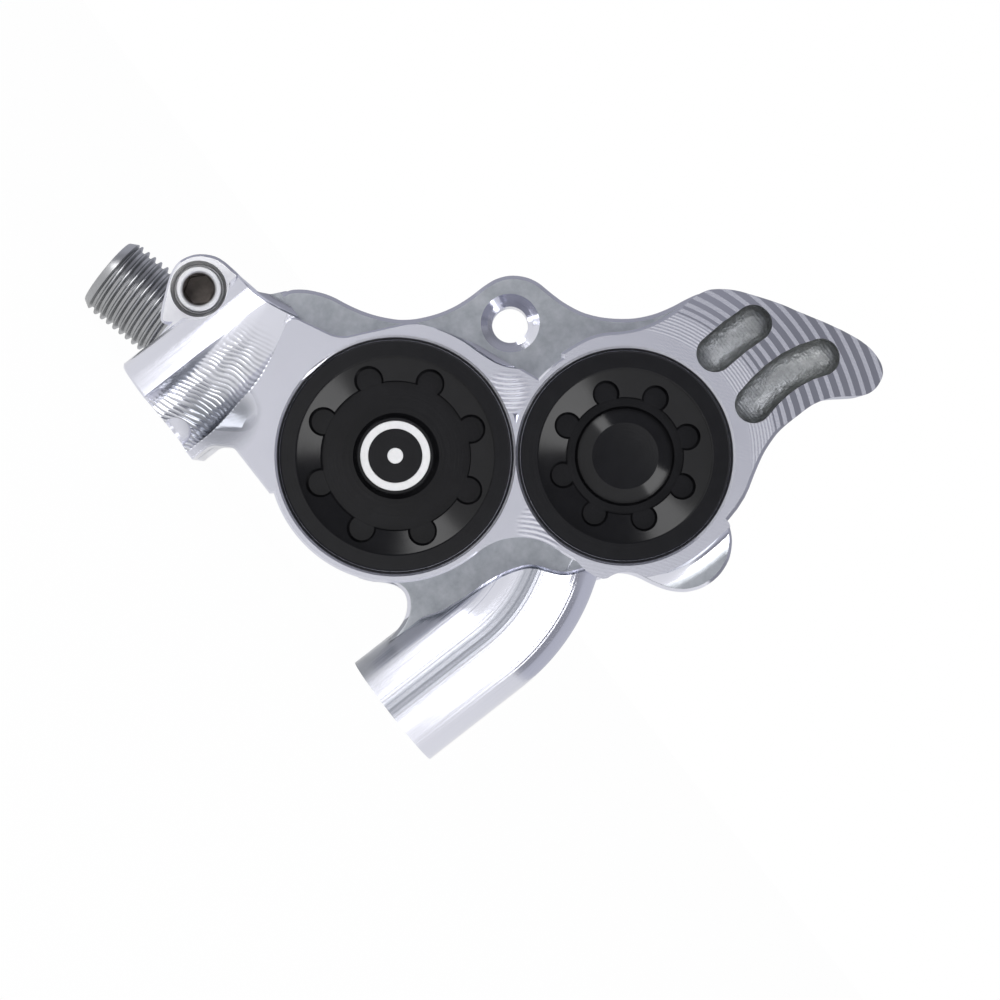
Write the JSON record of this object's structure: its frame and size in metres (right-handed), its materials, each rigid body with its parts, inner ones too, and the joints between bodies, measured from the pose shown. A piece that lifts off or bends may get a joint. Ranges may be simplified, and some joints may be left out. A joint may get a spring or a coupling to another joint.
{
  "type": "bicycle disc brake caliper",
  "caption": "Hydraulic disc brake caliper with opposed pistons in a one-piece body, two-bolt flat frame mount, threaded bore caps, bleed screw and hose stud.",
  "frame": {"origin": "on the frame's mounting face, midway between the axes of the two frame bolts", "axes": "+X along the bolt line, with the hose stud at -X; +Y from the outer face towards the rotor and the back, along the rotor's axis; +Z away from the bicycle's frame"},
  "size_m": [0.058, 0.0366, 0.0539],
  "materials": {
    "body": "machined and bead-polished, bright anodised",
    "cap": "turned, gloss black anodised",
    "mark": "white paint fill",
    "seal": "smooth nitrile",
    "piston": "ground and polished",
    "pad_plate": "black coated steel",
    "pad_lining": "sintered friction compound",
    "spring": "spring steel sheet",
    "bleed_screw": "bright stainless",
    "stud": "grey plated steel",
    "plug": "ground steel"
  },
  "bodies": {
    "caliper": {"caliper_body": "body", "bore_cap_large": "cap", "bore_cap_small": "cap", "cap_ring_mark": "mark", "cap_seal_large": "seal", "cap_seal_small": "seal", "fluid_seal_outboard_large": "seal", "fluid_seal_outboard_small": "seal", "fluid_seal_inboard_large": "seal", "fluid_seal_inboard_small": "seal", "dust_seal_outboard_large": "seal", "dust_seal_outboard_small": "seal", "dust_seal_inboard_large": "seal", "dust_seal_inboard_small": "seal", "pad_spring": "spring", "hose_stud": "stud", "hose_stud_seal": "seal", "passage_plug": "plug"},
    "piston_outboard_large": {"piston_outboard_large": "piston"},
    "piston_outboard_small": {"piston_outboard_small": "piston"},
    "piston_inboard_large": {"piston_inboard_large": "piston"},
    "piston_inboard_small": {"piston_inboard_small": "piston"},
    "pad_outboard": {"pad_plate_outboard": "pad_plate", "pad_lining_outboard": "pad_lining"},
    "pad_inboard": {"pad_plate_inboard": "pad_plate", "pad_lining_inboard": "pad_lining"},
    "bleed_screw": {"bleed_screw": "bleed_screw", "bleed_screw_seal": "seal"}
  },
  "joints": [
    {"name": "piston_outboard_large_slide", "type": "slide", "parent": "caliper", "child": "piston_outboard_large", "axis": [0, 1, 0], "range_m": [0, 0.0012], "deforming": ["pad_spring"]},
    {"name": "piston_outboard_small_slide", "type": "slide", "parent": "caliper", "child": "piston_outboard_small", "axis": [0, 1, 0], "range_m": [0, 0.0012]},
    {"name": "piston_inboard_large_slide", "type": "slide", "parent": "caliper", "child": "piston_inboard_large", "axis": [0, -1, 0], "range_m": [0, 0.0012]},
    {"name": "piston_inboard_small_slide", "type": "slide", "parent": "caliper", "child": "piston_inboard_small", "axis": [0, -1, 0], "range_m": [0, 0.0012]},
    {"name": "pad_outboard_slide", "type": "slide", "parent": "caliper", "child": "pad_outboard", "axis": [0, 1, 0], "range_m": [0, 0.0012]},
    {"name": "pad_inboard_slide", "type": "slide", "parent": "caliper", "child": "pad_inboard", "axis": [0, -1, 0], "range_m": [0, 0.0012]},
    {"name": "bleed_screw_turn", "type": "hinge", "parent": "caliper", "child": "bleed_screw", "pos_m": [-0.02375, 0.013, 0.0096], "axis": [0, -1, 0], "range_deg": [0, 180]}
  ],
  "couplings": [
    {"joint": "piston_outboard_small_slide", "follows": "piston_outboard_large_slide", "ratio": 1},
    {"joint": "piston_inboard_large_slide", "follows": "piston_outboard_large_slide", "ratio": 1},
    {"joint": "piston_inboard_small_slide", "follows": "piston_outboard_large_slide", "ratio": 1},
    {"joint": "pad_outboard_slide", "follows": "piston_outboard_large_slide", "ratio": 1},
    {"joint": "pad_inboard_slide", "follows": "piston_outboard_large_slide", "ratio": 1}
  ]
}
